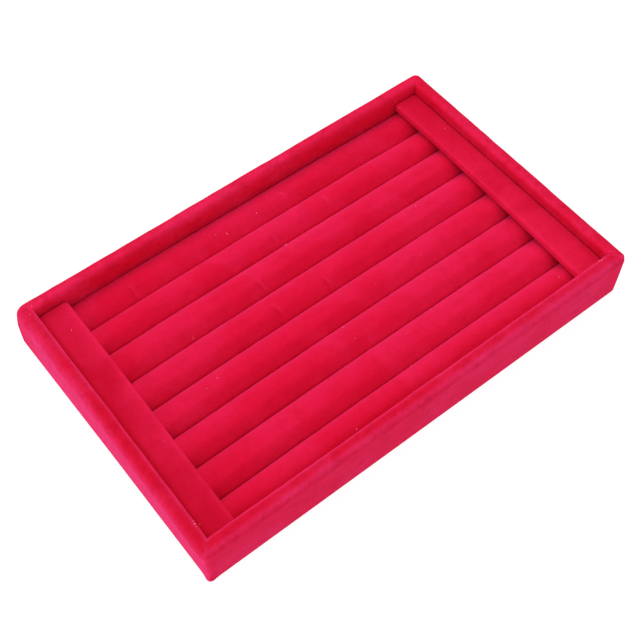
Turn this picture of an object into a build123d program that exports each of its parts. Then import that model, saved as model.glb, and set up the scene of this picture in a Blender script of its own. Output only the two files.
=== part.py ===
"""Open ring tray: velvet-covered board walls round eight foam rolls, with a flat bar over each row of roll ends.

Frame: millimetres, +Z up, origin at the centre of the underside. The tray is long in X. The rolls run along X
and are numbered from the back wall (+Y) to the front wall (-Y).
"""

import os

from build123d import *

# Overall size, outside the velvet
tray_length = 225.0
tray_width = 141.7
tray_height = 26.8

# Sheets and boards
velvet_thickness = 0.8
wall_board_thickness = 5.1
bottom_board_thickness = 2.0
card_thickness = 1.0
lining_thickness = 0.6

# Rounding of each board's edges, as shares of its own thickness
rim_outer_round_share = 0.46
rim_inner_round_share = 0.33
bottom_edge_round_share = 0.35

# Rounding of the tray's upright corners, as a share of the round of the rim's outer edge
corner_round_share = 1.04

# Underside: how far the velvet is turned in, and the lining glued over it
turn_in_depth = 10.0
lining_margin = 3.0
lining_clearance = 0.3

# Rolls, with their widths as shares of the room between the back and front walls
roll_width_shares = (0.976, 0.919, 1.082, 1.031, 1.0, 1.022, 1.067, 0.904)
roll_height = 13.0
roll_gap = 0.2
roll_end_clearance = 0.5
crown_share = 0.5
roll_base_round_share = 0.48
card_clearance = 0.3

# Flat bars over the roll ends
bar_width = 13.2
bar_board_thickness = 2.0
bar_edge_round_share = 0.3
bar_corner_round_share = 0.45
bar_turn_in_share = 0.3
bar_seat_gap = 0.15
bar_end_clearance = 0.3
bar_gap = 0.2

# Walls
wall_thickness = wall_board_thickness + 2 * velvet_thickness
rim_outer_round = wall_board_thickness * rim_outer_round_share
rim_inner_round = wall_board_thickness * rim_inner_round_share
bottom_edge_round = bottom_board_thickness * bottom_edge_round_share
corner_round = (rim_outer_round + velvet_thickness) * corner_round_share
inner_length = tray_length - 2 * wall_thickness
inner_width = tray_width - 2 * wall_thickness

# Levels, from the table up
board_bottom = lining_thickness + velvet_thickness
floor_top = board_bottom + bottom_board_thickness
card_top = floor_top + card_thickness
crest_top = card_top + roll_height
bar_bottom = crest_top + bar_seat_gap

# Rolls and bars
roll_length = inner_length - 2 * roll_end_clearance
bar_length = inner_width - 2 * bar_end_clearance
bar_thickness = bar_board_thickness + 2 * velvet_thickness
bar_turn_in = bar_width * bar_turn_in_share

os.makedirs("parts", exist_ok=True)


def export_piece(piece, name):
    """Label a finished piece and write its STEP file."""
    piece.part.label = name
    export_step(piece.part, f"parts/{name}.step")


def outline_corners(depth):
    """Corners of the tray's outline moved inwards by a depth, from the front left one counterclockwise."""
    x = tray_length / 2 - depth
    y = tray_width / 2 - depth
    return [Vector(-x, -y), Vector(x, -y), Vector(x, y), Vector(-x, y)]


def tray_block(inset):
    """Solid tray with its pocket, its outside rounded all round, with every face moved in by an inset."""
    with BuildPart() as block:
        with BuildSketch(Plane.XY.offset(lining_thickness + inset)):
            RectangleRounded(tray_length - 2 * inset, tray_width - 2 * inset, corner_round - inset)
        extrude(amount=tray_height - lining_thickness - 2 * inset)
        fillet(block.faces().sort_by(Axis.Z)[-1].edges(), rim_outer_round + velvet_thickness - inset)
        fillet(block.faces().sort_by(Axis.Z)[0].edges(), bottom_edge_round + velvet_thickness - inset)
        with BuildSketch(Plane.XY.offset(floor_top)):
            Rectangle(inner_length + 2 * inset, inner_width + 2 * inset)
        extrude(amount=tray_height, mode=Mode.SUBTRACT)
        rim = block.faces().sort_by(Axis.Z)[-1]
        fillet(rim.inner_wires().edges(), rim_inner_round + velvet_thickness - inset)
    return block.part


def wall_sector(side, start_height):
    """Room of one wall and its turn-in above a height, mitred at both ends, to be cut from the whole tray."""
    outer = outline_corners(0)
    inner = outline_corners(wall_thickness + turn_in_depth)
    with BuildPart(mode=Mode.PRIVATE) as sector:
        with BuildSketch(Plane.XY.offset(start_height)):
            with BuildLine():
                Polyline(outer[side - 1], outer[side], inner[side], inner[side - 1], close=True)
            make_face()
        extrude(amount=tray_height)
    return sector.part


def wall_velvet(side):
    """Velvet strip folded over one wall: from under the base, up the outside, over the rim and down inside."""
    with BuildPart() as cover:
        add(tray_block(0))
        add(tray_block(velvet_thickness), mode=Mode.SUBTRACT)
        with BuildSketch():
            Rectangle(tray_length - 2 * turn_in_depth, tray_width - 2 * turn_in_depth)
        extrude(amount=floor_top, mode=Mode.SUBTRACT)
        add(wall_sector(side, 0), mode=Mode.INTERSECT)
    return cover


def wall_board(side):
    """Stiff board of one wall, standing on the bottom board, with both top edges eased and its ends mitred."""
    with BuildPart() as board:
        add(tray_block(velvet_thickness))
        add(wall_sector(side, floor_top), mode=Mode.INTERSECT)
    return board


def roll_plane(center_y):
    """Plane across a roll at the tray's middle, with its origin on the card under the roll."""
    return Plane(origin=(0, center_y, card_top), x_dir=(0, 1, 0), z_dir=(1, 0, 0))


def roll_section(width):
    """Outside of a roll: a low crown, sides pressed straight by the neighbours, drawn in at the foot."""
    half_width = width / 2
    crown_rise = crown_share * min(half_width, roll_height)
    spring_height = roll_height - crown_rise
    with BuildSketch() as section:
        with BuildLine():
            crown = ThreePointArc((-half_width, spring_height), (0, roll_height), (half_width, spring_height))
            Polyline(crown @ 1, (half_width, 0), (-half_width, 0), crown @ 0)
        make_face()
        fillet(section.vertices().group_by(Axis.Y)[0], roll_base_round_share * min(spring_height, half_width))
    return section.sketch


def roll_core(center_y, width):
    """Foam strip inside a roll."""
    with BuildPart() as core:
        with BuildSketch(roll_plane(center_y)):
            add(roll_section(width))
            offset(amount=-velvet_thickness)
        extrude(amount=roll_length / 2, both=True)
    return core


def roll_velvet(center_y, width):
    """Velvet sleeve of a roll, open at both ends."""
    with BuildPart() as sleeve:
        with BuildSketch(roll_plane(center_y)):
            add(roll_section(width))
            offset(amount=-velvet_thickness, mode=Mode.SUBTRACT)
        extrude(amount=roll_length / 2, both=True)
    return sleeve


def bar_board(center_x):
    """Stiff strip inside an end bar."""
    with BuildPart() as board:
        with BuildSketch(Plane.XY.offset(bar_bottom + velvet_thickness)):
            with Locations((center_x, 0)):
                Rectangle(bar_width - 2 * velvet_thickness, bar_length - 2 * velvet_thickness)
        extrude(amount=bar_board_thickness)
    return board


def bar_velvet(center_x):
    """Velvet wrapped round an end bar and turned in beneath it, which leaves the middle of the strip bare."""
    with BuildPart() as cover:
        with BuildSketch(Plane.XY.offset(bar_bottom)):
            with Locations((center_x, 0)):
                RectangleRounded(bar_width, bar_length, bar_thickness * bar_corner_round_share)
        extrude(amount=bar_thickness)
        rims = cover.faces().filter_by(Axis.Z).edges()
        fillet(rims, bar_thickness * bar_edge_round_share)
        add(bar_board(center_x).part, mode=Mode.SUBTRACT)
        with BuildSketch(Plane.XY.offset(bar_bottom)):
            with Locations((center_x, 0)):
                Rectangle(bar_width - 2 * bar_turn_in, bar_length - 2 * bar_turn_in)
        extrude(amount=velvet_thickness, mode=Mode.SUBTRACT)
    return cover


# Walls: a board and its velvet on each side, counterclockwise from the left
for side, side_name in enumerate(("left", "front", "right", "back")):
    export_piece(wall_board(side), f"wall_board_{side_name}")
    export_piece(wall_velvet(side), f"wall_velvet_{side_name}")

# Bottom board under the walls, its lower edges eased for the velvet
with BuildPart() as bottom_board:
    add(tray_block(velvet_thickness))
    with BuildSketch():
        Rectangle(tray_length, tray_width)
    extrude(amount=floor_top, mode=Mode.INTERSECT)
export_piece(bottom_board, "bottom_board")

# Lining of the underside: a sheet over the turned-in velvet, pressed up to the board between the turn-ins
turned_in = turn_in_depth + lining_clearance
with BuildPart() as base_lining:
    with BuildSketch():
        Rectangle(tray_length - 2 * lining_margin, tray_width - 2 * lining_margin)
    extrude(amount=lining_thickness)
    with BuildSketch(Plane.XY.offset(lining_thickness)):
        Rectangle(tray_length - 2 * turned_in, tray_width - 2 * turned_in)
    extrude(amount=velvet_thickness)
export_piece(base_lining, "base_lining")

# Card that carries the rolls
with BuildPart() as insert_card:
    with BuildSketch(Plane.XY.offset(floor_top)):
        Rectangle(inner_length - 2 * card_clearance, inner_width - 2 * card_clearance)
    extrude(amount=card_thickness)
export_piece(insert_card, "insert_card")

# Rolls, from the back wall to the front wall
back_edge = inner_width / 2
for number, share in enumerate(roll_width_shares, start=1):
    room = inner_width * share / sum(roll_width_shares)
    center_y = back_edge - room / 2
    export_piece(roll_core(center_y, room - roll_gap), f"roll_core_{number}")
    export_piece(roll_velvet(center_y, room - roll_gap), f"roll_velvet_{number}")
    back_edge -= room

# End bars, each laid over one row of roll ends
bar_centers = {
    "left": -inner_length / 2 + bar_gap + bar_width / 2,
    "right": inner_length / 2 - bar_gap - bar_width / 2,
}
for side_name, center_x in bar_centers.items():
    export_piece(bar_board(center_x), f"end_bar_board_{side_name}")
    export_piece(bar_velvet(center_x), f"end_bar_velvet_{side_name}")
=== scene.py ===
"""Looks of the open velvet ring tray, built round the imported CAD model.

Frame: metres, +Z up, origin at the centre of the underside. The rolls run along X and are numbered from the
back wall (+Y) to the front wall (-Y), as in the CAD.
"""

import math
import random

import bmesh
import bpy
import numpy as np
from mathutils import Matrix, Vector
from mathutils.bvhtree import BVHTree


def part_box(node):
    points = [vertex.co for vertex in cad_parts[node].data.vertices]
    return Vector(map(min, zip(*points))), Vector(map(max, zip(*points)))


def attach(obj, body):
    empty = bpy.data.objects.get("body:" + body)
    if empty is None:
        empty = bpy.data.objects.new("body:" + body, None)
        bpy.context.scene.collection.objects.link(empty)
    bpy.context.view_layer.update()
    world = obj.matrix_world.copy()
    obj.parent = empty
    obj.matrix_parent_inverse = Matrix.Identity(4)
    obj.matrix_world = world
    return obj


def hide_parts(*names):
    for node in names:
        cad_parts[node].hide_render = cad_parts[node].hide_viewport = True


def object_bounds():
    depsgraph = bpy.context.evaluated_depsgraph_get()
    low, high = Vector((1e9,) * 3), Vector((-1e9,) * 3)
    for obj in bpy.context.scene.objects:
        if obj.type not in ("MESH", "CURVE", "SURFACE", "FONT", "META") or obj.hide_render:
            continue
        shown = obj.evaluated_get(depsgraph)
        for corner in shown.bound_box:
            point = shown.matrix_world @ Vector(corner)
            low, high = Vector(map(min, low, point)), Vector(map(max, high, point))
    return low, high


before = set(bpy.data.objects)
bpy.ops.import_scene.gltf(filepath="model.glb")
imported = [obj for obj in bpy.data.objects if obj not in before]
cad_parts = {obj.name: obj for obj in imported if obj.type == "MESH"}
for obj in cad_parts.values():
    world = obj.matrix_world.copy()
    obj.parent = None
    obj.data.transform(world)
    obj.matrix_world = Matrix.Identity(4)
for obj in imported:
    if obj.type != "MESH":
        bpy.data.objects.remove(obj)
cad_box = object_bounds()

MM = 0.001
root = "root"
wall_names = ("left", "front", "right", "back")
bar_names = ("left", "right")
roll_count = 8

# Camera, from fitting the tray's corners in the photograph
camera_azimuth = math.radians(-37.688)
camera_elevation = math.radians(57.186)
camera_roll = math.radians(-0.330)
camera_distance = 507.10 * MM
camera_slide_right = -2.13 * MM
camera_slide_up = -2.25 * MM
focal_pixels = 1131.72
picture_pixels = 640
sensor_width = 36.0

# Floor and room
floor_half = 3.0
floor_drop = 0.4 * MM
room_strength = 0.505

# Velvet over the walls
velvet_thickness = 0.8 * MM
rim_outer_radius = 3.75 * MM
rim_outer_corner = 3.6 * MM
rim_inner_corner = 2.3 * MM
base_edge_radius = 1.45 * MM
turn_in_depth = 10.0 * MM

# Rounds of the boards under it, as the shares that the CAD uses, and the gap between velvet and board
rim_outer_share = 0.46
rim_inner_share = 0.33
base_edge_share = 0.35
corner_share = 1.04
board_clearance = 0.03 * MM

# Rolls
sleeve_thickness = 0.62 * MM
crown_share = 0.5
foot_share = 0.43
middle_lift = 1.0 * MM
end_drop = 1.4 * MM
foam_inset = 0.78 * MM
roll_reach = 0.08 * MM
roll_press = 1.058
crease_depth = 0.3 * MM

# Seeds of the uneven fields, to which the number of the wall, roll or bar is added
wall_slow_seed = 11
wall_fine_seed = 31
wall_wave_seed = 51
roll_drift_seed = 3
roll_slow_seed = 200
roll_fine_seed = 300
bar_slow_seed = 404
bar_fine_seed = 414

# Seeds of the pull that differs over each sleeve, and of the lint's places and turns
pull_seed = 83
lint_seed = 23
fibre_seed = 5

# Cloth simulation of the rolls, run at a larger scale
sim_scale = 10.0
sim_frames = 20
cloth_values = {
    "quality": 6,
    "mass": 0.3,
    "tension_stiffness": 18,
    "compression_stiffness": 18,
    "shear_stiffness": 8,
    "bending_stiffness": 0.6,
    "use_pressure": True,
    "uniform_pressure_force": 4,
    "vertex_group_mass": "held",
    "vertex_group_shrink": "tight",
    "shrink_min": -0.02,
    "shrink_max": 0.015,
}

# End bars, with the columns of points along and across each
bar_edge_radius = 1.15 * MM
bar_board_radius = 0.12 * MM
bar_plan_radius = 1.9 * MM
bar_turn_in = 4.1 * MM
bar_press = 0.12 * MM
bar_columns = (105, 13)

# Lint, with how many bits lie about besides those in the photograph
lint_rest = 0.02 * MM
lint_more = 12

# Colours of the velvet, linear; the deep colour also serves as painted shade, the bloom colours as painted
# sheen
crimson = (0.80, 0.0062, 0.041, 1)
deep_crimson_and_shade = (0.50, 0.0026, 0.016, 1)
bloom_and_sheen_pink = (0.95, 0.0200, 0.100, 1)
wall_bloom_and_sheen = (0.90, 0.038, 0.175, 1)
crushed_bloom_and_sheen = (0.96, 0.030, 0.15, 1)
roll_crimson = (0.735, 0.0046, 0.036, 1)
roll_bloom_and_sheen = (0.83, 0.0165, 0.094, 1)
bar_crimson = (0.64, 0.0046, 0.035, 1)


def placed(name, data):
    """New object with its data, linked to the scene."""
    made = bpy.data.objects.new(name, data)
    bpy.context.scene.collection.objects.link(made)
    return made


def make_camera():
    """Camera at the photograph's angle."""
    back = Vector(
        (
            math.sin(camera_azimuth) * math.cos(camera_elevation),
            -math.cos(camera_azimuth) * math.cos(camera_elevation),
            math.sin(camera_elevation),
        )
    )
    level_right = Vector((0, 0, 1)).cross(back).normalized()
    level_up = back.cross(level_right)
    place = back * camera_distance + level_right * camera_slide_right + level_up * camera_slide_up
    c = math.cos(camera_roll)
    s = math.sin(camera_roll)
    right = level_right * c + level_up * s
    up = level_up * c - level_right * s
    data = bpy.data.cameras.new("camera")
    data.sensor_width = sensor_width
    data.lens = focal_pixels * sensor_width / picture_pixels
    data.clip_start = 0.01
    data.clip_end = 20.0
    camera = placed("camera", data)
    turn = Matrix((right, up, back)).transposed().to_4x4()
    camera.matrix_world = Matrix.Translation(place) @ turn
    bpy.context.scene.camera = camera


make_camera()


# Node helpers


def feed(socket, value):
    """Set an input socket to a value, or link another node's output to it."""
    if isinstance(value, bpy.types.NodeSocket):
        socket.id_data.links.new(value, socket)
    else:
        socket.default_value = value


def set_inputs(made, **inputs):
    """Set or link a node's inputs by name, with _ for each space."""
    for name, value in inputs.items():
        feed(made.inputs[name.replace("_", " ")], value)


def node(tree, kind, settings=None, **inputs):
    """New node with its settings, and its inputs set or linked by name."""
    made = tree.nodes.new(kind)
    for name, value in (settings or {}).items():
        setattr(made, name, value)
    set_inputs(made, **inputs)
    return made


def math_node(tree, operation, first, second=0.0, clamp=False):
    """Result of a math node whose inputs are numbers or outputs."""
    made = node(tree, "ShaderNodeMath", {"operation": operation, "use_clamp": clamp})
    feed(made.inputs[0], first)
    feed(made.inputs[1], second)
    return made.outputs[0]


def times(tree, first, second):
    """Product of two numbers or outputs."""
    return math_node(tree, "MULTIPLY", first, second)


def plus(tree, first, second, clamp=False):
    """Sum of two numbers or outputs, kept within 0..1 if asked."""
    return math_node(tree, "ADD", first, second, clamp)


def noise(tree, place, scale, detail=2.0, rough=0.5, distortion=0.0):
    """Noise read at a place output."""
    made = node(tree, "ShaderNodeTexNoise", Vector=place, Scale=scale)
    set_inputs(made, Detail=detail, Roughness=rough, Distortion=distortion)
    return made.outputs["Fac"]


def spread(tree, value, low, high):
    """Value stretched from low..high to 0..1 with soft ends."""
    made = node(tree, "ShaderNodeMapRange", {"interpolation_type": "SMOOTHSTEP"}, Value=value)
    set_inputs(made, From_Min=low, From_Max=high)
    return made.outputs["Result"]


def blend_colours(tree, share, first, second):
    """Mix of two colours or outputs by a share."""
    made = node(tree, "ShaderNodeMix", {"data_type": "RGBA"}, Factor=share, A=first, B=second)
    return made.outputs["Result"]


def grain_group(name, **inputs):
    """Shader node group read at a place, with its named colours and numbers, and its input node's outputs."""
    group = bpy.data.node_groups.new(name, "ShaderNodeTree")
    group.interface.new_socket("Place", in_out="INPUT", socket_type="NodeSocketVector")
    for input_name, value in inputs.items():
        kind = "NodeSocketColor" if isinstance(value, tuple) else "NodeSocketFloat"
        socket = group.interface.new_socket(input_name.replace("_", " "), in_out="INPUT", socket_type=kind)
        socket.default_value = value
    return group, group.nodes.new("NodeGroupInput").outputs


def give(group, colour, rough, height):
    """Named outputs of a grain group: its colour, roughness and height."""
    group.interface.new_socket("Color", in_out="OUTPUT", socket_type="NodeSocketColor")
    group.interface.new_socket("Roughness", in_out="OUTPUT", socket_type="NodeSocketFloat")
    group.interface.new_socket("Height", in_out="OUTPUT", socket_type="NodeSocketFloat")
    node(group, "NodeGroupOutput", Color=colour, Roughness=rough, Height=height)
    return group


def new_material(name):
    """Empty node material, returned with its Principled shader."""
    material = bpy.data.materials.new(name)
    material.use_nodes = True
    return material, material.node_tree.nodes["Principled BSDF"]


def grain_material(name, group, bump_strength, bump_distance, **values):
    """Material from a grain group with its own values, returned with its shader and its group node."""
    material, shader = new_material(name)
    tree = material.node_tree
    place = node(tree, "ShaderNodeTexCoord").outputs["Object"]
    grain = node(tree, "ShaderNodeGroup", {"node_tree": group}, Place=place, **values)
    colour, rough, height = grain.outputs
    bump = node(tree, "ShaderNodeBump", Strength=bump_strength, Distance=bump_distance, Height=height)
    set_inputs(shader, Base_Color=colour, Roughness=rough, Normal=bump.outputs["Normal"])
    return material, shader, grain


# Floor and light


def make_floor():
    """Wide pale floor."""
    material, shader = new_material("floor_paint")
    set_inputs(shader, Base_Color=(0.25, 0.25, 0.252, 1), Roughness=0.9, Specular_IOR_Level=0.1)
    set_inputs(shader, Emission_Color=(1, 1, 1, 1), Emission_Strength=0.88)
    mesh = bpy.data.meshes.new("floor")
    half = floor_half
    corners = [(-half, -half, 0), (half, -half, 0), (half, half, 0), (-half, half, 0)]
    mesh.from_pydata(corners, [], [(0, 1, 2, 3)])
    mesh.materials.append(material)
    floor = placed("floor", mesh)
    floor.location.z = -floor_drop


def make_lamp(name, place, size, power):
    """Soft square lamp that faces the tray."""
    data = bpy.data.lights.new(name, "AREA")
    data.shape = "SQUARE"
    data.size = size
    data.energy = power
    lamp = placed(name, data)
    lamp.location = place
    lamp.rotation_euler = Vector(place).to_track_quat("Z", "Y").to_euler()


def make_light():
    """Soft studio light: a big lamp behind and above, weaker ones in front and at the left, a white room."""
    make_lamp("lamp_back", (0.5, 0.75, 1.1), 1.5, 13.4)
    make_lamp("lamp_front", (-0.3, -0.9, 0.9), 0.9, 3.0)
    make_lamp("lamp_left", (-1.3, 0.1, 0.4), 0.6, 5.0)
    world = bpy.data.worlds.new("room")
    world.use_nodes = True
    set_inputs(world.node_tree.nodes["Background"], Color=(1, 1, 1, 1), Strength=room_strength)
    bpy.context.scene.world = world


bpy.context.scene.view_settings.view_transform = "Standard"
make_floor()
make_light()


# Velvet


def make_nap_group():
    """Nap of velvet: fibre grain, crushed patches and brushed sweeps, and painted shade and sheen, as colour,
    roughness and height.
    """
    group, given = grain_group(
        "velvet_nap",
        Base=crimson,
        Deep=deep_crimson_and_shade,
        Bloom=bloom_and_sheen_pink,
        Edge=0.0,
        Valley=0.0,
        Fibres_per_metre=1900.0,
        Patches_per_metre=160.0,
        Sweeps_per_metre=30.0,
        Mottles_per_metre=420.0,
        Crush=0.14,
        Mottle=0.11,
        Bloom_share=0.3,
    )
    place = given["Place"]
    fibre = noise(group, place, given["Fibres per metre"], 1.5, 0.6)
    patch = noise(group, place, given["Patches per metre"], 3.0, 0.6, 0.6)
    sweep = noise(group, place, given["Sweeps per metre"], 2.0, 0.5, 0.9)
    mottle = noise(group, place, given["Mottles per metre"], 2.0, 0.6, 0.4)
    crushed = times(group, spread(group, patch, 0.42, 0.70), given["Crush"])
    mottled = times(group, spread(group, mottle, 0.40, 0.68), given["Mottle"])
    grain = times(group, spread(group, fibre, 0.38, 0.66), 0.17)
    lowered = plus(group, plus(group, crushed, mottled), grain)
    # Valley input: painted shade, darkening toward the deep colour
    lowered = plus(group, lowered, given["Valley"], clamp=True)
    risen = times(group, spread(group, sweep, 0.42, 0.66), given["Bloom share"])
    # Edge input: painted sheen and highlights, lightening toward the bloom colour
    risen = plus(group, risen, given["Edge"], clamp=True)
    colour = blend_colours(group, risen, given["Base"], given["Bloom"])
    colour = blend_colours(group, lowered, colour, given["Deep"])
    rough = plus(group, times(group, fibre, 0.15), 0.82)
    height = plus(group, plus(group, times(group, patch, 3.0), mottle), fibre)
    return give(group, colour, rough, height)


nap_group = make_nap_group()


def velvet(name, sheen_weight, sheen_tint, bump_strength=0.5, **values):
    """Velvet material with its own sheen, bump and values for the nap."""
    material, shader, nap = grain_material(name, nap_group, bump_strength, 0.12 * MM, **values)
    set_inputs(shader, IOR=1.42, Specular_IOR_Level=0.03)
    set_inputs(shader, Sheen_Weight=sheen_weight, Sheen_Roughness=0.45, Sheen_Tint=(*sheen_tint, 1))
    # The edge attribute brings painted sheen and highlights, the valley attribute painted shade
    for attribute_name in ("edge", "valley"):
        attribute = node(material.node_tree, "ShaderNodeAttribute", {"attribute_name": attribute_name})
        feed(nap.inputs[attribute_name.capitalize()], attribute.outputs["Fac"])
    return material


smooth_velvet = velvet("velvet_walls", 0.45, (1.0, 0.08, 0.38), Bloom=wall_bloom_and_sheen, Crush=0.20, Mottle=0.14)
# Copy of the wall velvet for the right and back walls, whose inner faces are seen in shade: less sheen and
# bump, a redder bloom colour for its painted highlights, and a little more crush and mottle
crushed_shaded_wall_velvet = velvet(
    "velvet_walls_crushed_shaded",
    0.26,
    (1.0, 0.05, 0.17),
    bump_strength=0.3,
    Bloom=crushed_bloom_and_sheen,
    Crush=0.22,
    Mottle=0.16,
    Bloom_share=0.28,
)
roll_velvet = velvet("velvet_rolls", 0.6, (1.0, 0.085, 0.38), Base=roll_crimson, Bloom=roll_bloom_and_sheen)
bar_velvet = velvet("velvet_bars", 0.44, (1.0, 0.08, 0.36), Base=bar_crimson)


# Board, card, lining and foam


def make_fibre_group():
    """Pressed paper fibres: long flecks and a slow tone, as colour, roughness and height."""
    group, given = grain_group(
        "paper_fibres",
        Base=(0.2, 0.2, 0.2, 1),
        Fleck=(0.1, 0.1, 0.1, 1),
        Flecks_per_metre=900.0,
        Fleck_share=0.5,
    )
    place = given["Place"]
    fleck = noise(group, place, given["Flecks per metre"], 4.0, 0.65, 1.2)
    tone = noise(group, place, 45.0)
    share = times(group, spread(group, fleck, 0.5, 0.68), given["Fleck share"])
    share = plus(group, share, times(group, tone, 0.2), clamp=True)
    colour = blend_colours(group, share, given["Base"], given["Fleck"])
    rough = plus(group, times(group, fleck, 0.2), 0.72)
    return give(group, colour, rough, fleck)


def make_pore_group():
    """Open pores of foam, as colour, roughness and height."""
    group, given = grain_group(
        "foam_pores", Base=(0.2, 0.2, 0.2, 1), Pore=(0.02, 0.02, 0.02, 1), Pores_per_metre=1500.0
    )
    cells = node(group, "ShaderNodeTexVoronoi", Vector=given["Place"], Scale=given["Pores per metre"])
    depth = spread(group, cells.outputs["Distance"], 0.15, 0.55)
    colour = blend_colours(group, depth, given["Pore"], given["Base"])
    rough = plus(group, times(group, depth, 0.1), 0.85)
    return give(group, colour, rough, depth)


def hidden_material(name, group, bump_distance, **values):
    """Matt material of a piece inside the tray, from one of the groups above."""
    material, shader = grain_material(name, group, 0.6, bump_distance, **values)[:2]
    set_inputs(shader, Specular_IOR_Level=0.25)
    return material


fibre_group = make_fibre_group()
pore_group = make_pore_group()
board = hidden_material(
    "grey_board",
    fibre_group,
    0.04 * MM,
    Base=(0.23, 0.16, 0.095, 1),
    Fleck=(0.10, 0.07, 0.04, 1),
    Fleck_share=0.6,
)
card = hidden_material(
    "black_card",
    fibre_group,
    0.02 * MM,
    Base=(0.013, 0.013, 0.014, 1),
    Fleck=(0.03, 0.03, 0.03, 1),
    Flecks_per_metre=1600.0,
)
lining = hidden_material(
    "lining_paper",
    fibre_group,
    0.03 * MM,
    Base=(0.010, 0.009, 0.010, 1),
    Fleck=(0.022, 0.02, 0.021, 1),
    Flecks_per_metre=700.0,
)
foam = hidden_material(
    "foam_rubber", pore_group, 0.2 * MM, Base=(0.022, 0.022, 0.024, 1), Pore=(0.004, 0.004, 0.004, 1)
)


def dress(node_name, material):
    """Give a carried-over CAD node its material."""
    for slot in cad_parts[node_name].material_slots:
        slot.material = material


for wall_name in wall_names:
    dress(f"wall_board_{wall_name}", board)
for bar_name in bar_names:
    dress(f"end_bar_board_{bar_name}", board)
dress("bottom_board", board)
dress("insert_card", card)
dress("base_lining", lining)


# Number helpers


def unit(values):
    """Values kept within 0..1."""
    return np.clip(values, 0, 1)


def ease(values):
    """Values kept within 0..1, with soft ends."""
    kept = unit(values)
    return kept * kept * (3 - 2 * kept)


def bell(offset, width):
    """Smooth bump of height 1 where the offset is zero."""
    return np.exp(-((offset / width) ** 2))


def ripple(points, length, seed):
    """Smooth uneven field between about -1 and 1 at each point, from seeded waves of about one length."""
    chance = np.random.default_rng(seed)
    total = np.zeros(points.shape[:-1])
    waves = 10
    for _ in range(waves):
        direction = chance.normal(size=3)
        direction /= np.linalg.norm(direction)
        wave = length * chance.uniform(0.6, 1.7)
        total += np.sin(points @ direction * (2 * math.pi / wave) + chance.uniform(0, 2 * math.pi))
    return total / (0.55 * waves)


# Mesh helpers


def quads_between(first, second):
    """Quads between two lines of vertices, or between each line of one grid and that of another."""
    corners = (first[..., :-1], first[..., 1:], second[..., 1:], second[..., :-1])
    return np.stack(corners, axis=-1).reshape(-1, 4)


def shell_faces(rows, columns, looped):
    """Quads of a closed shell: an outer and an inner grid of vertices, and the quads between their borders.

    A looped shell runs once round along its columns, and its last row closes on itself.
    """
    outer = np.arange(rows * columns).reshape(rows, columns)
    if looped:
        outer = np.hstack([outer, outer[:, :1]])
    inner = outer + rows * columns
    faces = [quads_between(outer[:-1], outer[1:]), quads_between(inner[:-1], inner[1:])[:, ::-1]]
    borders = [(outer[0], inner[0])]
    if not looped:
        borders.append((outer[-1, ::-1], inner[-1, ::-1]))
        borders.append((outer[::-1, 0], inner[::-1, 0]))
        borders.append((outer[:, -1], inner[:, -1]))
    faces += [quads_between(first, second)[:, ::-1] for first, second in borders]
    return np.concatenate(faces)


def signed_volume(points, faces):
    """Volume of a closed mesh of quads, negative when its faces point inwards."""
    quads = points[faces]
    first = np.cross(quads[:, 1], quads[:, 2])
    second = np.cross(quads[:, 2], quads[:, 3])
    return float((quads[:, 0] * (first + second)).sum() / 6)


def merge_close(mesh, distance):
    """Merge vertices that share a place."""
    work = bmesh.new()
    work.from_mesh(mesh)
    bmesh.ops.remove_doubles(work, verts=work.verts, dist=distance)
    bmesh.ops.dissolve_degenerate(work, edges=work.edges, dist=distance)
    work.to_mesh(mesh)
    work.free()


def shell(name, outer, inner, material, edge, valley, looped=False):
    """Closed shell between two grids of points, with the edge attribute of painted sheen and the valley
    attribute of painted shade on its outer one.
    """
    points = np.concatenate([outer.reshape(-1, 3), inner.reshape(-1, 3)])
    faces = shell_faces(*outer.shape[:2], looped)
    if signed_volume(points, faces) < 0:
        faces = faces[:, ::-1]
    mesh = bpy.data.meshes.new(name)
    mesh.from_pydata(points.tolist(), [], faces.tolist())
    for attribute_name, values in (("edge", edge), ("valley", valley)):
        set_attribute(mesh, attribute_name, np.concatenate([values.ravel(), np.zeros(values.size)]))
    if looped:
        merge_close(mesh, 0.001 * MM)
    mesh.shade_smooth()
    mesh.set_sharp_from_angle(angle=math.radians(50))
    mesh.materials.append(material)
    return placed(name, mesh)


def coordinates(mesh):
    """Vertex places of a mesh as an array."""
    flat = np.zeros(len(mesh.vertices) * 3)
    mesh.vertices.foreach_get("co", flat)
    return flat.reshape(-1, 3)


def normals(mesh):
    """Vertex normals of a mesh as an array."""
    flat = np.zeros(len(mesh.vertices) * 3)
    mesh.vertex_normals.foreach_get("vector", flat)
    return flat.reshape(-1, 3)


def set_coordinates(mesh, points):
    """Write vertex places back to a mesh."""
    mesh.vertices.foreach_set("co", points.ravel())
    mesh.update()


def set_attribute(mesh, name, values):
    """Write one number for each vertex as a named attribute."""
    attribute = mesh.attributes.get(name) or mesh.attributes.new(name, "FLOAT", "POINT")
    attribute.data.foreach_set("value", values.astype(np.float32))


def plain_mesh(holder, name):
    """Mesh of an object with its modifiers applied."""
    mesh = bpy.data.meshes.new_from_object(holder.evaluated_get(bpy.context.evaluated_depsgraph_get()))
    mesh.name = name
    return mesh


def arc(center, radius, start, end, steps):
    """Points of an arc without its first one, angles in degrees."""
    angles = np.radians(np.linspace(start, end, steps + 1)[1:])
    return [(center[0] + radius * math.cos(a), center[1] + radius * math.sin(a)) for a in angles]


def run(start, end, steps):
    """Points of a straight run without its first one."""
    shares = np.linspace(0, 1, steps + 1)[1:]
    return [(start[0] + (end[0] - start[0]) * s, start[1] + (end[1] - start[1]) * s) for s in shares]


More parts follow.
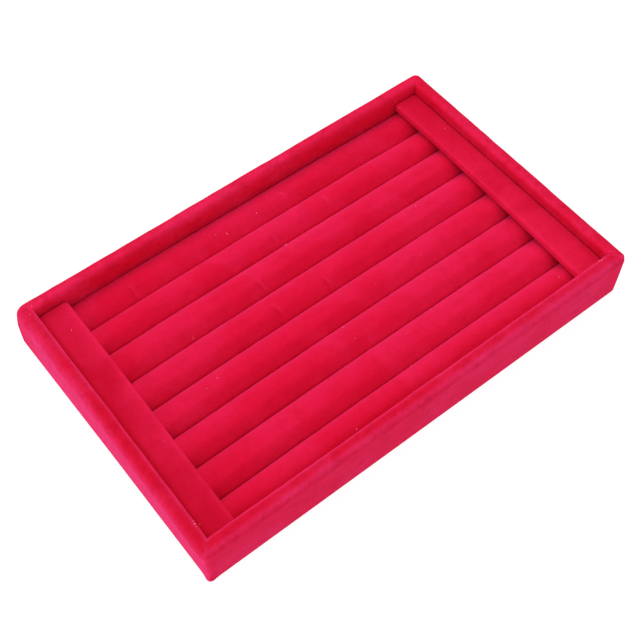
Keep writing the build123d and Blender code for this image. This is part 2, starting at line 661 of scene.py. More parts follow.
def round_corner(along, depth, radius):
    """Move points of a square corner onto rounded outlines, given their distances from its two sides."""
    a = np.clip(radius - along, 0, None)
    d = np.clip(radius - depth, 0, None)
    both = (a > 0) & (d > 0)
    size = np.where(both, np.hypot(a, d), 1.0)
    share = np.where(both, np.maximum(a, d) / size, 1.0)
    return np.where(both, radius - a * share, along), np.where(both, radius - d * share, depth)


def round_ends(along, depth, length, radii):
    """Move points along one side of a box onto rounded corners, whose two radii are given."""
    near_along, near_depth = round_corner(along, depth, radii[0])
    far_along, far_depth = round_corner(length - along, depth, radii[1])
    use_far = along > length / 2
    return np.where(use_far, length - far_along, near_along), np.where(use_far, far_depth, near_depth)


# Directions along and into each side of a box, counterclockwise from its left
side_forward = np.array(((0, -1, 0), (1, 0, 0), (0, 1, 0), (-1, 0, 0)))
side_inward = np.array(((1, 0, 0), (0, 1, 0), (-1, 0, 0), (0, -1, 0)))


def place_on_side(low, high, side, along, depth, height):
    """Points at one side of a box, by distance along it, distance into it and height."""
    start = ((low.x, high.y, 0), (low.x, low.y, 0), (high.x, low.y, 0), (high.x, high.y, 0))[side]
    points = start + along[..., None] * side_forward[side] + depth[..., None] * side_inward[side]
    points[..., 2] = height
    return points


# Walls

lowest, highest = (Vector(c) for c in cad_box)
tray_length = highest.x - lowest.x
tray_width = highest.y - lowest.y
tray_height = highest.z
board_low, board_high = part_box("wall_board_left")
bottom_low, bottom_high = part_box("bottom_board")
board_thickness = board_high.x - board_low.x
wall_thickness = board_thickness + 2 * velvet_thickness
floor_top = board_low.z
turned_in_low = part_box("wall_velvet_left")[0].z
board_outer_round = rim_outer_share * board_thickness
board_inner_round = rim_inner_share * board_thickness
board_base_round = base_edge_share * (bottom_high.z - bottom_low.z)
board_corner_round = corner_share * (board_outer_round + velvet_thickness)

# Corners at the start and end of each wall, and each corner's upright radius low down and at the rim. A seam
# has a depth in mm, and a painted highlight, which is how much pinker the velvet is painted beside it.
wall_corners = {
    "left": ("back_left", "front_left"),
    "front": ("front_left", "front_right"),
    "right": ("front_right", "back_right"),
    "back": ("back_right", "back_left"),
}
corner_radii = {
    "front_left": (2.5 * MM, 3.3 * MM),
    "front_right": (3.3 * MM, 3.3 * MM),
    "back_right": (3.2 * MM, 3.4 * MM),
    "back_left": (1.3 * MM, 4.6 * MM),
}
seam_depth = {"front_left": 0.0, "front_right": 0.20, "back_right": 0.06, "back_left": 0.0}
painted_seam_highlight = {"front_left": 0.22, "front_right": 0.35, "back_right": 0.08, "back_left": 0.08}

# Radius of each rim's inner edge, and height of the uneven waves along it
rim_inner_radii = {"left": 2.5 * MM, "front": 2.5 * MM, "right": 2.3 * MM, "back": 2.8 * MM}
rim_waves = {"left": 0.08 * MM, "front": 0.06 * MM, "right": 0.10 * MM, "back": 0.24 * MM}

# How much painted shade darkens each wall's velvet on its outer face and on the outer and inner half of its
# rim, and inside
painted_wall_shade_levels = {
    "left": (0.24, 0.22, 0.48),
    "front": (0.26, 0.0, 0.50),
    "right": (0.40, 0.40, 0.26),
    "back": (0.36, 0.44, 0.0),
}
painted_inner_shade = {"left": 0.2, "front": 0.2, "right": 0.3, "back": 0.0}

# Painted sheen and highlights on each wall's velvet: over its rim, along the rim's inner edge, inside under
# the rim, on its outer face and on the shoulder between that and the rim, and how far the face's sheen fades
# toward the wall's start
painted_rim_top_sheen = {"left": 0.03, "front": 0.03, "right": 0.24, "back": 0.40}
painted_rim_edge_highlight = {"left": 0.42, "front": 0.5, "right": 0.1, "back": 0.0}
painted_under_rim_highlight = {"back": 0.2}
painted_face_sheen = {"left": 0.8, "front": 0.05, "right": 0.6, "back": 0.6}
painted_shoulder_highlight = {"front": 0.4}
corner_fade = {"left": 0.9}


def cover_path(inset, outer_radius, inner_radius, base_radius):
    """Section of a wall cover from its turned-in edge to its foot inside, as depth and height, moved in."""
    near = inset
    far = wall_thickness - inset
    low = turned_in_low + inset
    top = tray_height - inset
    path = [(turn_in_depth, low)]
    path += run(path[-1], (near + base_radius, low), 9)
    path += arc((near + base_radius, low + base_radius), base_radius, 270, 180, 6)
    path += run(path[-1], (near, top - outer_radius), 22)
    path += arc((near + outer_radius, top - outer_radius), outer_radius, 180, 90, 14)
    path += run(path[-1], (far - inner_radius, top), 2)
    path += arc((far - inner_radius, top - inner_radius), inner_radius, 90, 0, 9)
    path += run(path[-1], (far, floor_top), 22)
    return np.array(path)


def outward_of(path):
    """Outward unit directions along a section path, as depth and height."""
    along = np.gradient(path, axis=0)
    along /= np.linalg.norm(along, axis=1)[:, None]
    return np.stack([-along[:, 1], along[:, 0]], axis=1)


def column_stations(length):
    """Places along a wall's outer edge: 0.25 and then 0.6 mm apart near its ends, and 1.25 mm elsewhere."""
    fine = np.concatenate([np.arange(0, 3, 0.25), np.arange(3, 9, 0.6)]) * MM
    middle = np.linspace(9 * MM, length - 9 * MM, int((length / MM - 18) / 1.25))
    return np.concatenate([fine, middle, (length - fine)[::-1]])


def wall_grid(side, path, end_path, radii):
    """Grid of points of a mitred wall cover: a section path that turns into another at the corners.

    The radii are those of the upright corners at the wall's start and end, each a number or one for each row.
    """
    length = tray_width if side % 2 == 0 else tray_length
    stations = column_stations(length)
    free = ease(np.minimum(stations, length - stations) / (14 * MM))
    depth = path[:, :1] * free + end_path[:, :1] * (1 - free)
    height = path[:, 1:] * free + end_path[:, 1:] * (1 - free)
    along = depth + stations * ((length - 2 * depth) / length)
    along, depth = round_ends(along, depth, length, radii)
    return place_on_side(lowest, highest, side, along, depth, height), stations, length


def upright_radius(corner, height):
    """Radius of a corner's upright edge at a height."""
    return np.interp(height, (15 * MM, tray_height - 1.3 * MM), corner_radii[corner])


def corner_values(name, values, stations, length):
    """Value of the nearer corner for each station of a wall."""
    start, end = (values[corner] for corner in wall_corners[name])
    return np.where(stations < length / 2, start, end)


def seam_swell(from_end, depth):
    """Groove of the seam at a wall's end, with a low ridge beside it where the velvet is folded under."""
    return depth * (0.6 * bell(from_end - 1.5 * MM, 0.9 * MM) - bell(from_end, 0.4 * MM)) * MM


def fold_corner(points):
    """Push the front left corner out at its foot, where the velvet is folded into a small round lump."""
    tip = np.array([-0.5 * tray_length + 1.2 * MM, -0.5 * tray_width + 1.2 * MM, 2.2 * MM])
    push = 0.7 * MM * bell(np.linalg.norm(points - tip, axis=-1), 2.4 * MM)
    return points + push[..., None] * np.array([-0.7, -0.7, 0.0])


def lean_left_wall(points):
    """Twist the left wall as in the photograph: its top leans out at the front end and in at the back end."""
    share = points[..., 1] / (0.5 * tray_width)
    at_top = np.interp(share, (-1, 0, 1), (-0.55, 0.0, 0.35)) * MM
    at_base = np.interp(share, (-1, 0, 1), (0.5, 0.0, -0.9)) * MM
    lower = 1 - unit(points[..., 2] / tray_height) ** 2.5
    leant = points.copy()
    leant[..., 0] += (at_base * lower + at_top * (1 - lower)) * ease((-points[..., 0] / MM - 96) / 10)
    return leant


def above_foot(path):
    """Share of each row of a wall's section that is above its foot, where the velvet starts to be uneven."""
    return unit((path[:, 1:] - 4 * MM) / (6 * MM))


def from_rim_line(path):
    """Distance of each row of a wall's section beyond the line 0.6 mm short of the wall's inner face."""
    return path[:, :1] - wall_thickness + 0.6 * MM


def wall_swell(side, outer, path, stations, length):
    """How far the velvet stands off at each point of a wall: unevenness, waves along the rim, and seams."""
    name = wall_names[side]
    from_end = np.minimum(stations, length - stations)
    free = ease(from_end / (7 * MM))
    above = above_foot(path)
    slow = 0.10 * MM * ripple(outer, 26 * MM, wall_slow_seed + side)
    fine = 0.06 * MM * ripple(outer, 9 * MM, wall_fine_seed + side)
    near_rim = bell(from_rim_line(path), 2.2 * MM) * (path[:, 1:] > tray_height - 8 * MM)
    wave = rim_waves[name] * ripple(outer, 11 * MM, wall_wave_seed + side) * free * near_rim
    seam = seam_swell(from_end, corner_values(name, seam_depth, stations, length))
    return (slow + fine + 0.05 * MM) * free * above + wave + seam * above


def on_rim(path):
    """Share of each row of a wall's section that lies along the inner edge of the rim."""
    return bell(from_rim_line(path), 1.2 * MM) * bell(path[:, 1:] - tray_height + 0.8 * MM, 1.3 * MM)


def wall_painted_sheen(name, path, stations, length):
    """Painted sheen and highlights on a wall's velvet at each point: on its rim, its outer face, beside its
    seams and inside.
    """
    depth = path[:, :1]
    height = path[:, 1:]
    outward = outward_of(path)
    from_end = np.minimum(stations, length - stations)
    seam = bell(from_end - 0.9 * MM, 1.0 * MM) * corner_values(name, painted_seam_highlight, stations, length)
    bend = painted_face_sheen[name] * unit(-outward[:, :1]) ** 2.3 * (height > 2 * MM)
    bend = bend + painted_shoulder_highlight.get(name, 0) * unit(-2 * outward[:, :1] * outward[:, 1:]) ** 2
    fade = 1 - corner_fade.get(name, 0) * unit(1 - stations / (24 * MM))
    pink = painted_rim_top_sheen[name] * (height > tray_height - 3 * MM)
    pink = pink * unit((wall_thickness - 0.2 * MM - depth) / (2.0 * MM))
    under_rim = bell(height - tray_height + 2.2 * MM, 2.2 * MM) * (depth > wall_thickness - 1.5 * MM)
    pink = pink + painted_under_rim_highlight.get(name, 0) * under_rim
    return unit(painted_rim_edge_highlight[name] * on_rim(path) + seam * above_foot(path) + bend * fade + pink)


def wall_painted_shade(name, path):
    """Painted shade on a wall's velvet in each row of its section, most of all at its foot inside."""
    depth = path[:, :1]
    height = path[:, 1:]
    within = depth > wall_thickness - MM
    inside = unit((tray_height - 1.5 * MM - height) / (2 * MM)) * within
    low = unit((floor_top + 7 * MM - height) / (7 * MM)) * within
    deep = np.interp(depth, (0.1 * MM, 1.5 * MM, 5 * MM), painted_wall_shade_levels[name]) * (1 - inside)
    return unit(deep * (1 - 0.8 * on_rim(path)) + painted_inner_shade[name] * inside + 0.7 * low)


def wall_cover(side):
    """Velvet folded over one wall."""
    name = wall_names[side]
    outer_path = cover_path(0.0, rim_outer_radius, rim_inner_radii[name], base_edge_radius)
    end_path = cover_path(0.0, rim_outer_corner, rim_inner_corner, base_edge_radius)
    inner_path = cover_path(
        velvet_thickness - board_clearance,
        board_outer_round + board_clearance,
        board_inner_round + board_clearance,
        board_base_round + board_clearance,
    )
    radii = [upright_radius(corner, outer_path[:, 1:]) for corner in wall_corners[name]]
    outer, stations, length = wall_grid(side, outer_path, end_path, radii)
    inner = wall_grid(side, inner_path, inner_path, (board_corner_round, board_corner_round))[0]
    turned = outward_of(outer_path)
    outward = turned[:, :1] * side_inward[side] + turned[:, 1:] * np.array((0, 0, 1))
    swell = wall_swell(side, outer, outer_path, stations, length)
    outer = fold_corner(lean_left_wall(outer + swell[..., None] * outward[:, None, :]))
    edge = wall_painted_sheen(name, outer_path, stations, length)
    valley = wall_painted_shade(name, outer_path) + np.zeros(len(stations))
    # The right and back walls, seen from inside in shade, take the copy with less sheen and a redder painted
    # highlight
    fabric = crushed_shaded_wall_velvet if name in ("right", "back") else smooth_velvet
    piece = shell(f"wall_cover_{name}", outer, inner, fabric, edge, valley)
    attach(piece, root)
    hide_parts(f"wall_velvet_{name}")
    return piece


wall_covers = [wall_cover(side) for side in range(4)]


# Geometry node helpers


def point_node(tree, x, y, z=0.0):
    """Vector from three numbers or outputs."""
    return node(tree, "ShaderNodeCombineXYZ", X=x, Y=y, Z=z).outputs[0]


def passed(tree, kind, source, mode=None, **inputs):
    """Result of a node fed by a geometry output, with its mode and its other inputs by name."""
    made = node(tree, kind, {"mode": mode} if mode else None, **inputs)
    tree.links.new(source, made.inputs[0])
    return made.outputs[0]


def line_node(tree, start, end):
    """Straight curve between two point outputs."""
    return node(tree, "GeometryNodeCurvePrimitiveLine", Start=start, End=end).outputs["Curve"]


def position(tree):
    """Place of each point, as one output and as a node with its X, Y and Z."""
    place = node(tree, "GeometryNodeInputPosition").outputs[0]
    return place, node(tree, "ShaderNodeSeparateXYZ", Vector=place).outputs


def add_sizes(tree, sizes):
    """Named inputs of a Geometry Nodes tree, and its geometry output."""
    kinds = {float: "NodeSocketFloat", int: "NodeSocketInt", tuple: "NodeSocketVector"}
    for name, value in sizes.items():
        kind = kinds.get(type(value), "NodeSocketMaterial")
        tree.interface.new_socket(name, in_out="INPUT", socket_type=kind).default_value = value
    tree.interface.new_socket("Geometry", in_out="OUTPUT", socket_type="NodeSocketGeometry")
    return tree.nodes.new("NodeGroupInput").outputs, tree.nodes.new("NodeGroupOutput").inputs


def grown(name, tree, values, base=None):
    """Plain mesh object from a Geometry Nodes tree and named values, grown on a base mesh if given."""
    holder = placed(name + "_holder", base or bpy.data.meshes.new(name + "_holder"))
    modifier = holder.modifiers.new("grow", "NODES")
    modifier.node_group = tree
    for item in tree.interface.items_tree:
        if item.in_out == "INPUT" and item.name in values:
            modifier[item.identifier] = values[item.name]
    mesh = plain_mesh(holder, name)
    holder.modifiers.remove(modifier)
    bpy.data.objects.remove(holder)
    return placed(name, mesh)


# Rolls


def sleeve_section(tree, size):
    """Closed section of a sleeve, +X being its back: a crown on straight sides, with rounded foot corners."""
    half = times(tree, size["Width"], 0.5)
    other = times(tree, size["Width"], -0.5)
    spring_level = math_node(tree, "SUBTRACT", size["Height"], size["Crown rise"])
    back_spring = point_node(tree, half, spring_level)
    front_spring = point_node(tree, other, spring_level)
    back_foot = point_node(tree, half, 0.0)
    front_foot = point_node(tree, other, 0.0)
    flat = line_node(tree, back_spring, front_spring)
    flat = passed(tree, "GeometryNodeResampleCurve", flat, "COUNT", Count=41)
    across = position(tree)[1]["X"]
    share = math_node(tree, "DIVIDE", math_node(tree, "ABSOLUTE", across), half)
    in_front = math_node(tree, "LESS_THAN", across, 0.0)
    fuller = math_node(tree, "SUBTRACT", size["Front fullness"], size["Back fullness"])
    fullness = plus(tree, size["Back fullness"], times(tree, fuller, in_front))
    fall = times(tree, size["Crown rise"], math_node(tree, "POWER", share, fullness))
    level = math_node(tree, "SUBTRACT", size["Height"], fall)
    crown = passed(tree, "GeometryNodeSetPosition", flat, Position=point_node(tree, across, level))
    joined = node(tree, "GeometryNodeJoinGeometry")
    tree.links.new(crown, joined.inputs[0])
    for start, end in ((front_spring, front_foot), (front_foot, back_foot), (back_foot, back_spring)):
        tree.links.new(line_node(tree, start, end), joined.inputs[0])
    wire = passed(tree, "GeometryNodeCurveToMesh", joined.outputs[0])
    merged = passed(tree, "GeometryNodeMergeByDistance", wire, Distance=0.02 * MM)
    section = passed(tree, "GeometryNodeMeshToCurve", merged)
    at_foot = math_node(tree, "LESS_THAN", position(tree)[1]["Y"], 0.1 * MM)
    radius = times(tree, size["Foot radius"], at_foot)
    eased = passed(tree, "GeometryNodeFilletCurve", section, "POLY", Radius=radius, Count=7)
    return passed(tree, "GeometryNodeResampleCurve", eased, "LENGTH", Length=size["Spacing"])


def sleeve_tree():
    """Geometry Nodes tree of a roll's sleeve: its section swept along X, made uneven and set in place."""
    tree = bpy.data.node_groups.new("roll_sleeve", "GeometryNodeTree")
    tree.is_modifier = True
    size, result = add_sizes(
        tree,
        {
            "Length": 210 * MM,
            "Width": 16 * MM,
            "Height": 13 * MM,
            "Crown rise": 4 * MM,
            "Front fullness": 2.6,
            "Back fullness": 3.4,
            "Foot radius": 4 * MM,
            "Spacing": 1.4 * MM,
            "Unevenness": 0.25 * MM,
            "Seed": 1,
            "Place": (0.0, 0.0, 0.0),
            "Fabric": roll_velvet,
        },
    )
    start = point_node(tree, times(tree, size["Length"], -0.5), 0.0)
    end = point_node(tree, times(tree, size["Length"], 0.5), 0.0)
    rail = line_node(tree, start, end)
    rail = passed(tree, "GeometryNodeResampleCurve", rail, "LENGTH", Length=size["Spacing"])
    tube = passed(tree, "GeometryNodeCurveToMesh", rail, Profile_Curve=sleeve_section(tree, size))
    place = position(tree)[0]
    drift = node(tree, "ShaderNodeTexNoise", {"noise_dimensions": "4D"}, W=size["Seed"], Scale=60.0)
    set_inputs(drift, Vector=place)
    centred = node(tree, "ShaderNodeVectorMath", {"operation": "SUBTRACT"})
    feed(centred.inputs[0], drift.outputs["Color"])
    feed(centred.inputs[1], (0.5, 0.5, 0.5))
    offset = node(tree, "ShaderNodeVectorMath", {"operation": "SCALE"}, Scale=size["Unevenness"])
    feed(offset.inputs[0], centred.outputs[0])
    moved = passed(tree, "GeometryNodeSetPosition", tube, Offset=offset.outputs[0])
    turn = (math.pi, 0, 0)
    upright = passed(tree, "GeometryNodeTransform", moved, Translation=size["Place"], Rotation=turn)
    real = passed(tree, "GeometryNodeRealizeInstances", upright)
    dressed = passed(tree, "GeometryNodeSetMaterial", real, Material=size["Fabric"])
    tree.links.new(dressed, result[0])
    return tree


def make_sleeve(tree, number):
    """Velvet sleeve of one roll at the size of its CAD solid."""
    low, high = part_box(f"roll_velvet_{number}")
    width = high.y - low.y
    height = high.z - low.z
    rise = crown_share * width / 2
    values = {
        "Length": high.x - low.x,
        "Width": width,
        "Height": height,
        "Crown rise": rise,
        "Foot radius": foot_share * (height - rise),
        "Seed": roll_drift_seed + number,
        "Place": (0.0, (low.y + high.y) / 2, low.z),
        "Fabric": roll_velvet,
    }
    piece = grown(f"roll_sleeve_{number}", tree, values)
    piece.data.shade_smooth()
    return piece, low, high


def weigh(piece, name, weights, least=0.0):
    """Vertex group of a piece from one weight for each vertex, with only the weights above the least."""
    group = piece.vertex_groups.new(name=name)
    for index in np.nonzero(weights > least)[0]:
        group.add([int(index)], float(weights[index]), "REPLACE")


def start_swell(piece, low, high):
    """Shrink a sleeve a little, scale it up for the simulation and give it its cloth settings."""
    points = coordinates(piece.data)
    middle = np.array([0.0, (low.y + high.y) / 2, low.z])
    small = (points - middle) * np.array([1.0, 0.965, 0.97])
    above = (points[:, 2] - low.z) / (high.z - low.z)
    from_end = np.minimum(points[:, 0] - low.x, high.x - points[:, 0])
    set_coordinates(piece.data, small * sim_scale)
    weigh(piece, "held", np.maximum(unit((0.16 - above) / 0.06), unit(1 - from_end / (3 * MM))), 0.01)
    weigh(piece, "tight", unit(0.5 + 0.5 * ripple(points * np.array([1, 0.35, 0.35]), 13 * MM, pull_seed)))
    cloth = piece.modifiers.new("swell", "CLOTH")
    for name, value in cloth_values.items():
        setattr(cloth.settings, name, value)
    cloth.settings.effector_weights.gravity = 0
    cloth.point_cache.frame_start = 1
    cloth.point_cache.frame_end = sim_frames
    return middle


def end_swell(piece, base, middle, low, high):
    """Take the swollen shape at the sleeve's own size, near its CAD solid and clear of its neighbours."""
    ready = piece.evaluated_get(bpy.context.evaluated_depsgraph_get())
    swollen = coordinates(ready.data) / sim_scale + middle
    piece.modifiers.clear()
    piece.vertex_groups.clear()
    points = base + np.clip(swollen - base, -0.22 * MM, 0.35 * MM)
    half = (high.y - low.y) / 2 + roll_reach
    points[:, 1] = middle[1] + np.clip(roll_press * (points[:, 1] - middle[1]), -half, half)
    points[:, 2] = np.clip(points[:, 2], low.z, high.z + 0.12 * MM)
    set_coordinates(piece.data, points)


def swell_rolls(rolls):
    """Cloth simulation of all the sleeves at once: pressed out from inside, held at the foot and the ends."""
    bases = [coordinates(piece.data) for piece, low, high in rolls]
    middles = [start_swell(*roll) for roll in rolls]
    scene = bpy.context.scene
    for step in range(1, sim_frames + 1):
        scene.frame_set(step)
    for (piece, low, high), base, middle in zip(rolls, bases, middles):
        end_swell(piece, base, middle, low, high)
    scene.frame_set(1)


# Creases on the rolls in the photograph: roll, place in mm, heading, half length and half width in mm
creases = (
    (1, (17.5, 54.3, 17.8), (0.25, -1.0, -0.3), 3.4, 0.7),
    (1, (-65.9, 52.3, 16.5), (0.1, -1.0, -0.7), 4.0, 0.8),
    (2, (-0.3, 37.0, 16.8), (0.15, -1.0, -0.6), 2.4, 0.6),
    (2, (31.0, 39.9, 17.8), (0.2, -1.0, -0.2), 3.0, 0.8),
    (3, (-20.0, 20.4, 16.7), (0.2, -1.0, -0.7), 3.4, 0.7),
    (4, (-22.3, 5.5, 17.4), (0.2, -1.0, -0.4), 3.0, 0.8),
    (4, (3.9, 4.1, 16.8), (0.2, -1.0, -0.5), 2.4, 0.6),
)


def pucker(points, place, heading, length, width):
    """Form of a short crease at a place: a groove of -1 with a low ridge beside it."""
    heading = Vector(heading).normalized()
    offset = points - np.array(place)
    along = offset @ np.array(heading)
    away = offset - along[:, None] * np.array(heading)
    side = np.sign(away[:, 0]) * np.linalg.norm(away, axis=1)
    return bell(along, length) * (0.8 * bell(side - 1.8 * width, width) - bell(side, width))


def crease_form(points, number):
    """Form of all the creases of one roll."""
    form = np.zeros(len(points))
    for roll, place, heading, length, width in creases:
        if roll == number:
            form += pucker(points, [v * MM for v in place], heading, length * MM, width * MM)
    return form


def arch(points, low, high):
    """Raise the middle of a roll, which the bars hold down at its ends."""
    toward_bar = unit(np.abs(points[:, 0]) / (90 * MM)) ** 2.5
    height = (points[:, 2] - low.z) / (high.z - low.z)
    raised = points.copy()
    raised[:, 2] += (middle_lift - end_drop * toward_bar) * height
    return raised


def lift_back(points, low, high):
    """Raise the back side of roll 1 against the back wall, more and more toward its left end."""
    half = (high.y - low.y) / 2
    back = unit((points[:, 1] - high.y + half) / half) ** 3
    left = unit((-points[:, 0] - 5 * MM) / (75 * MM))
    upper = unit((points[:, 2] - low.z - 7 * MM) / (3 * MM))
    lifted = points.copy()
    lifted[:, 2] += 1.3 * MM * back * left * upper
    return lifted


def roll_foam(piece, number, low, high):
    """Foam inside a sleeve: the sleeve's form drawn in, with closed ends."""
    mesh = piece.data.copy()
    mesh.name = f"roll_foam_{number}"
    set_coordinates(mesh, arch(coordinates(mesh) - foam_inset * normals(mesh), low, high))
    work = bmesh.new()
    work.from_mesh(mesh)
    bmesh.ops.holes_fill(work, edges=[e for e in work.edges if e.is_boundary], sides=0)
    bmesh.ops.triangulate(work, faces=[f for f in work.faces if len(f.verts) > 4])
    work.to_mesh(mesh)
    work.free()
    mesh.materials.clear()
    mesh.materials.append(foam)
    core = placed(f"roll_foam_{number}", mesh)
    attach(core, root)
    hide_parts(f"roll_core_{number}")


def shape_roll(mesh, number, low, high):
    """Add a roll's unevenness, creases and arch, and return its points, directions and creases."""
    points = coordinates(mesh)
    outward = normals(mesh)
    from_end = np.minimum(points[:, 0] - low.x, high.x - points[:, 0])
    free = unit(from_end / (14 * MM)) * unit((points[:, 2] - low.z - 5 * MM) / (5 * MM))
    slow = ripple(points * np.array([1.0, 0.5, 0.5]), 34 * MM, roll_slow_seed + number)
    fine = ripple(points, 6.5 * MM, roll_fine_seed + number)
    points = points + ((0.10 * MM * slow + 0.028 * MM * fine) * free)[:, None] * outward
    crease = crease_form(points, number)
    points = points + (crease_depth * crease)[:, None] * outward
    half = (high.y - low.y) / 2 + roll_reach
    middle = (low.y + high.y) / 2
    points[:, 1] = middle + np.clip(points[:, 1] - middle, -half, half)
    if number == 1:
        points = lift_back(points, low, high)
    set_coordinates(mesh, arch(points, low, high))
    return points, outward, crease


def paint_roll_shade_and_sheen(mesh, number, points, outward, crease, top):
    """Painted shade on a roll under the bars, on its near side and in its creases, and painted sheen on its
    back, its steep near side and by its creases.
    """
    depth = unit((top - 4.6 * MM - points[:, 2]) / (3.5 * MM))
    under_bar = unit((np.abs(points[:, 0]) - 84 * MM) / (7 * MM))
    near_side = np.clip(-outward[:, 1] - 0.3, 0, 0.6) / 0.6
    at_left = unit((-points[:, 0] - 10 * MM) / (50 * MM))
    shade = near_side * (0.32 * at_left * min(1, (number - 1) / 3) + 0.35 * under_bar)
    set_attribute(mesh, "valley", unit(0.9 * depth * under_bar - 0.35 * crease + shade))
    away = np.clip(0.16 + 0.38 * outward[:, 1], 0, 0.5) * (1 - 0.4 * at_left)
    near = 0.35 * np.clip(-outward[:, 1] - 0.45, 0, 0.55)
    set_attribute(mesh, "edge", unit(away + near + 0.7 * unit(crease)) * (outward[:, 2] > -0.2))


def finish_roll(piece, number, low, high):
    """Make a roll's foam, subdivide its sleeve, and give that its fine shape, its painted shade and sheen,
    and its thickness.
    """
    roll_foam(piece, number, low, high)
    refine = piece.modifiers.new("refine", "SUBSURF")
    refine.levels = 1
    refine.render_levels = 1
    mesh = plain_mesh(piece, piece.name)
    piece.modifiers.clear()
    piece.data = mesh
    points, outward, crease = shape_roll(mesh, number, low, high)
    paint_roll_shade_and_sheen(mesh, number, points, outward, crease, high.z)
    thick = piece.modifiers.new("thickness", "SOLIDIFY")
    thick.thickness = sleeve_thickness
    thick.offset = -1
    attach(piece, root)
    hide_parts(f"roll_velvet_{number}")


roll_tree = sleeve_tree()
rolls = [make_sleeve(roll_tree, number) for number in range(1, roll_count + 1)]
swell_rolls(rolls)
for number, (piece, low, high) in enumerate(rolls, start=1):
    finish_roll(piece, number, low, high)


# End bars

# How far each bar's inner edge lies off a straight line in the photograph, outwards over the rolls, as places
# along it and distances, both in mm
bar_bows = {
    "left": ((-64, -0.3), (-40, 0.0), (-20, 0.25), (0, 0.65), (20, 1.0), (40, 1.1), (64, 1.3)),
    "right": ((-64, 1.6), (-40, 0.75), (-25, 0.25), (10, -0.35), (37, -0.7), (64, -0.25)),
}

# Painted shade on each bar at its left and right edge, or painted sheen where the value is below zero
painted_bar_shading = {"left": (0.18, -0.10), "right": (-0.14, 0.14)}


def bar_path(inset, edge_radius, high, half_width):
    """Section of a bar's cover from its turned-in edge round its side to its middle, as depth and height."""
    path = [(bar_turn_in, inset)]
    path += run(path[-1], (inset + edge_radius, inset), 4)
    path += arc((inset + edge_radius, inset + edge_radius), edge_radius, 270, 180, 5)
    path += run(path[-1], (inset, high - inset - edge_radius), 3)
    path += arc((inset + edge_radius, high - inset - edge_radius), edge_radius, 180, 90, 6)
    path += run(path[-1], (half_width, high - inset), 7)
    return np.array(path)


def bar_ring(path, low, high, radius):
    """Grid of points of a bar's cover: the section path by the columns once round the bar."""
    sides = []
    for side in range(4):
        reach = high.y - low.y if side % 2 == 0 else high.x - low.x
        stations = np.linspace(0, 1, bar_columns[side % 2])[:-1] * reach
        depth = np.repeat(path[:, :1], len(stations), axis=1)
        along = depth + stations * (reach - 2 * depth) / reach
        along, depth = round_ends(along, depth, reach, (radius, radius))
        sides.append(place_on_side(low, high, side, along, depth, low.z + path[:, 1:]))
    return np.concatenate(sides, axis=1)


def bow_bar(points, side, low, high):
    """Move a bar's inner edge off its straight line, and press its outer edge against the wall."""
    places, moves = zip(*bar_bows[side])
    move = np.interp(points[..., 1] / MM, places, moves) * MM
    share = (points[..., 0] - low.x) / (high.x - low.x)
    turn = 1.0
    if side == "right":
        share = 1 - share
        turn = -1.0
    against_wall = unit(1 - share / 0.12)
    moved = points.copy()
    moved[..., 0] += turn * (move * ease((share - 0.35) / 0.65) - bar_press * against_wall)
    return moved


def bar_cover(side):
    """Velvet wrapped round one end bar and turned in beneath it."""
    low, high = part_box(f"end_bar_velvet_{side}")
    half_width = (high.x - low.x) / 2
    thick = high.z - low.z
    outer_path = bar_path(0.0, bar_edge_radius, thick, half_width)
    inner_path = bar_path(velvet_thickness - board_clearance, bar_board_radius, thick, half_width)
    outer = bar_ring(outer_path, low, high, bar_plan_radius)
    inner = bar_ring(inner_path, low, high, 0.0)
    depth = outer_path[:, :1]
    top = unit((outer_path[:, 1:] - 0.7 * thick) / (0.3 * thick))
    number = bar_names.index(side)
    swell = 0.12 * np.sin(depth / half_width * math.pi / 2)
    swell = swell + 0.07 * ripple(outer, 21 * MM, bar_slow_seed + number)
    swell += 0.02 * ripple(outer, 6 * MM, bar_fine_seed + number)
    outer[..., 2] += swell * MM * top
    outer = bow_bar(outer, side, low, high)
    across = unit((outer[..., 0] - low.x) / (high.x - low.x))
    from_left, from_right = painted_bar_shading[side]
    tone = from_left * (1 - across) + from_right * across
    # Painted highlight along the rounded top edges, painted shade or sheen across the bar, and on the left
    # bar a band of painted shadow beside the wall's rim
    edge = 0.2 * bell(depth - 0.9 * MM, 0.8 * MM) * top + unit(-tone)
    valley = unit(tone)
    if side == "left":
        valley += 0.55 * bell(outer[..., 0] - low.x - 1.1 * MM, 1.0 * MM)
    piece = shell(f"bar_cover_{side}", outer, inner, bar_velvet, edge, valley, looped=True)
    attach(piece, root)
    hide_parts(f"end_bar_velvet_{side}")
    return piece


bar_covers = [bar_cover(side) for side in bar_names]


# Lint, as the bits seen in the photograph, in millimetres from the tray's middle
lint_places = (
    (-106.6, -55.6), (-106.9, -57.2), (-107.0, -58.2), (100.2, -65.1), (101.4, -65.4), (-105.4, 66.2),
    (-108.2, 62.8), (-19.4, 54.6), (-14.8, 52.4), (2.4, 53.6), (-4.4, -18.3), (-4.5, -26.5), (102.1, 37.3),
    (95.3, 4.8), (-57.6, 17.6), (-97.6, 49.0), (-95.8, -18.6),
)


def lint_material():
    """Pale cotton fibre."""
    material, shader = new_material("lint")
    tree = material.node_tree
    cloudy = noise(tree, node(tree, "ShaderNodeTexCoord").outputs["Object"], 900.0)
    share = spread(tree, cloudy, 0.35, 0.65)
    colour = blend_colours(tree, share, (1.0, 0.30, 0.46, 1), (0.95, 0.13, 0.26, 1))
    set_inputs(shader, Base_Color=colour, Specular_IOR_Level=0.1, Sheen_Weight=0.3, Roughness=0.9)
    return material


def random_value(tree, low, high, seed):
    """Random number for each point."""
    made = node(tree, "FunctionNodeRandomValue", {"data_type": "FLOAT"}, Seed=seed)
    feed(made.inputs[2], low)
    feed(made.inputs[3], high)
    return made.outputs[1]


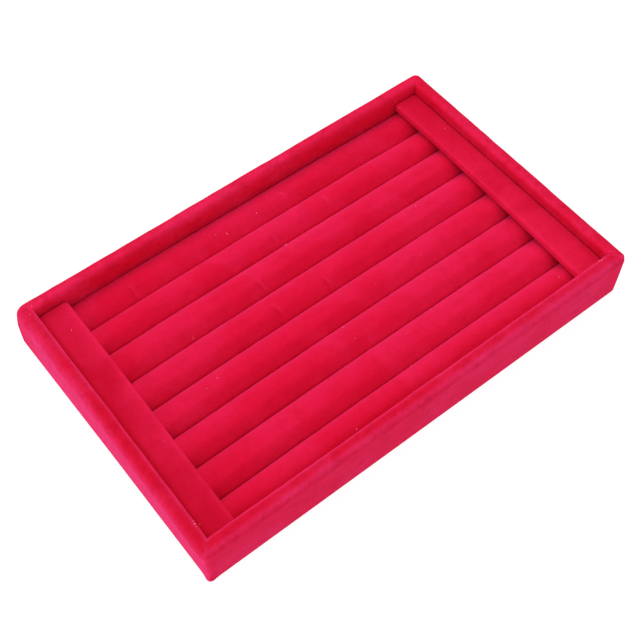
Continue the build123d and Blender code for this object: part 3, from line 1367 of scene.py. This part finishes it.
def lint_fibre(tree, given):
    """One bent fibre that lies along X."""
    half = times(tree, given["Fibre length"], 0.5)
    other = times(tree, given["Fibre length"], -0.5)
    curve = node(
        tree,
        "GeometryNodeCurveQuadraticBezier",
        Resolution=6,
        Start=point_node(tree, other, 0.0, lint_rest),
        Middle=point_node(tree, 0.0, given["Bend"], given["Rise"]),
        End=point_node(tree, half, 0.0, lint_rest),
    )
    ring = node(tree, "GeometryNodeCurvePrimitiveCircle", Resolution=5, Radius=given["Fibre radius"])
    profile = ring.outputs[0]
    return passed(tree, "GeometryNodeCurveToMesh", curve.outputs[0], Profile_Curve=profile, Fill_Caps=True)


def lint_tree():
    """Bent fibres laid on given points, each turned and sized at random."""
    tree = bpy.data.node_groups.new("lint_fibres", "GeometryNodeTree")
    sizes = {
        "Fibre length": 0.8 * MM,
        "Fibre radius": 0.10 * MM,
        "Bend": 0.25 * MM,
        "Rise": 0.35 * MM,
        "Seed": fibre_seed,
        "Cotton": None,
    }
    tree.interface.new_socket("Places", in_out="INPUT", socket_type="NodeSocketGeometry")
    given, result = add_sizes(tree, sizes)
    facing = node(tree, "GeometryNodeInputNamedAttribute", {"data_type": "FLOAT_VECTOR"}, Name="facing")
    facing = facing.outputs["Attribute"]
    upright = node(tree, "FunctionNodeAlignRotationToVector", {"axis": "Z"}, Vector=facing).outputs[0]
    angle = random_value(tree, 0.0, math.tau, given["Seed"])
    spin = node(tree, "FunctionNodeAxisAngleToRotation", Angle=angle).outputs[0]
    turned = node(tree, "FunctionNodeRotateRotation", {"rotation_space": "LOCAL"}, Rotation=upright)
    set_inputs(turned, Rotate_By=spin)
    laid = node(
        tree,
        "GeometryNodeInstanceOnPoints",
        Points=given["Places"],
        Instance=lint_fibre(tree, given),
        Rotation=turned.outputs[0],
        Scale=random_value(tree, 0.5, 1.3, given["Seed"]),
    )
    real = passed(tree, "GeometryNodeRealizeInstances", laid.outputs[0])
    dressed = passed(tree, "GeometryNodeSetMaterial", real, Material=given["Cotton"])
    tree.links.new(dressed, result[0])
    return tree


def lint_points(pieces):
    """Points with their surface's direction where the lint lies, dropped on to the velvet from above."""
    state = bpy.context.evaluated_depsgraph_get()
    covers = [BVHTree.FromObject(piece, state) for piece in pieces]
    chance = random.Random(lint_seed)
    places = list(lint_places)
    places += [(chance.uniform(-110, 110), chance.uniform(-68, 68)) for _ in range(lint_more)]
    found = []
    facing = []
    for x, y in places:
        start = Vector((x * MM, y * MM, 2 * tray_height))
        hits = [cover.ray_cast(start, Vector((0, 0, -1))) for cover in covers]
        hits = [hit for hit in hits if hit[0] is not None]
        if hits:
            place, direction = max(hits, key=lambda hit: hit[0].z)[:2]
            found.append(place)
            facing.append(direction)
    mesh = bpy.data.meshes.new("lint_places")
    mesh.from_pydata(found, [], [])
    mesh.attributes.new("facing", "FLOAT_VECTOR", "POINT").data.foreach_set("vector", np.ravel(facing))
    return mesh


velvet_pieces = wall_covers + bar_covers + [piece for piece, low, high in rolls]
lint = grown("lint", lint_tree(), {"Cotton": lint_material()}, lint_points(velvet_pieces))
lint.data.shade_smooth()
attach(lint, root)
